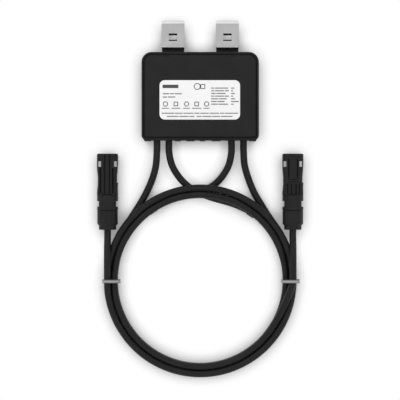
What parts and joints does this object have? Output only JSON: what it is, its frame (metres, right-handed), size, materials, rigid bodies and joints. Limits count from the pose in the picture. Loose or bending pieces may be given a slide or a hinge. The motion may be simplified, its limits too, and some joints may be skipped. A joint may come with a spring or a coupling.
{
  "type": "solar power optimizer",
  "caption": "Flat black solar power optimizer with steel frame clips, a white label, a tied coil of leads and plug connectors.",
  "frame": {"origin": "centre of the housing's back face, on the surface that it lies on", "axes": "+X to the right of the label, +Y towards the frame clips, +Z out of the label"},
  "size_m": [0.2067, 0.3567, 0.025],
  "materials": {
    "black_plastic": "fine-textured black moulded plastic",
    "lid_plastic": "fine-textured black moulded plastic",
    "label_film": "white printed film with plain grey bars",
    "spring_steel": "grey rolled spring steel",
    "rivet_steel": "plain steel",
    "seal_rubber": "black sealing rubber",
    "cable_jacket": "black cross-linked cable jacket, satin",
    "tie_nylon": "light grey nylon",
    "connector_plastic": "black glass-filled moulding",
    "contact_metal": "tin-plated copper alloy",
    "board_laminate": "green coated laminate",
    "copper": "bare copper",
    "core_ferrite": "coated ring core",
    "can_aluminium": "bare aluminium",
    "chip_epoxy": "black moulded epoxy"
  },
  "bodies": {
    "root": {"rear_housing": "black_plastic", "front_cover": "lid_plastic", "cover_seal": "seal_rubber", "label_plate": "label_film", "frame_clip_left": "spring_steel", "frame_clip_right": "spring_steel", "clip_rivet_left": "rivet_steel", "clip_rivet_right": "rivet_steel", "lead_bushing_1": "seal_rubber", "lead_bushing_2": "seal_rubber", "lead_bushing_3": "seal_rubber", "lead_bushing_4": "seal_rubber", "output_lead_left_start": "cable_jacket", "output_lead_left_end": "cable_jacket", "output_lead_right_start": "cable_jacket", "output_lead_right_end": "cable_jacket", "input_lead_left": "cable_jacket", "input_lead_right": "cable_jacket", "lead_coil": "cable_jacket", "cable_tie_left": "tie_nylon", "cable_tie_right": "tie_nylon", "circuit_board": "board_laminate", "power_inductor": "core_ferrite", "capacitor_1": "can_aluminium", "capacitor_2": "can_aluminium", "capacitor_3": "can_aluminium", "transistor_1": "chip_epoxy", "transistor_2": "chip_epoxy", "transistor_3": "chip_epoxy", "transistor_4": "chip_epoxy", "controller_chip": "chip_epoxy", "heat_spreader": "can_aluminium", "lead_terminal_1": "copper", "lead_terminal_2": "copper", "lead_terminal_3": "copper", "lead_terminal_4": "copper", "left_front_sleeve": "connector_plastic", "left_connector_body": "connector_plastic", "left_pin_contact": "contact_metal", "left_cable_seal": "seal_rubber", "right_front_sleeve": "connector_plastic", "right_connector_body": "connector_plastic", "right_socket_contact": "contact_metal", "right_cable_seal": "seal_rubber"},
    "left_collet_body": {"left_collet": "connector_plastic"},
    "left_nut_body": {"left_cap_nut": "connector_plastic"},
    "right_collet_body": {"right_collet": "connector_plastic"},
    "right_nut_body": {"right_cap_nut": "connector_plastic"}
  },
  "joints": [
    {"name": "left_collet_slide", "type": "slide", "parent": "root", "child": "left_collet_body", "axis": [0, -1, 0], "range_m": [0, 0.003]},
    {"name": "left_nut_turn", "type": "hinge", "parent": "left_collet_body", "child": "left_nut_body", "pos_m": [-0.0928, -0.12, 0.0106], "axis": [0, -1, 0], "range_deg": [0, 720]},
    {"name": "right_collet_slide", "type": "slide", "parent": "root", "child": "right_collet_body", "axis": [0, -1, 0], "range_m": [0, 0.003]},
    {"name": "right_nut_turn", "type": "hinge", "parent": "right_collet_body", "child": "right_nut_body", "pos_m": [0.0928, -0.12, 0.0106], "axis": [0, -1, 0], "range_deg": [0, 720]}
  ],
  "couplings": [
    {"joint": "left_collet_slide", "follows": "left_nut_turn", "m_per_rad": 0.00023873},
    {"joint": "right_collet_slide", "follows": "right_nut_turn", "m_per_rad": 0.00023873}
  ]
}
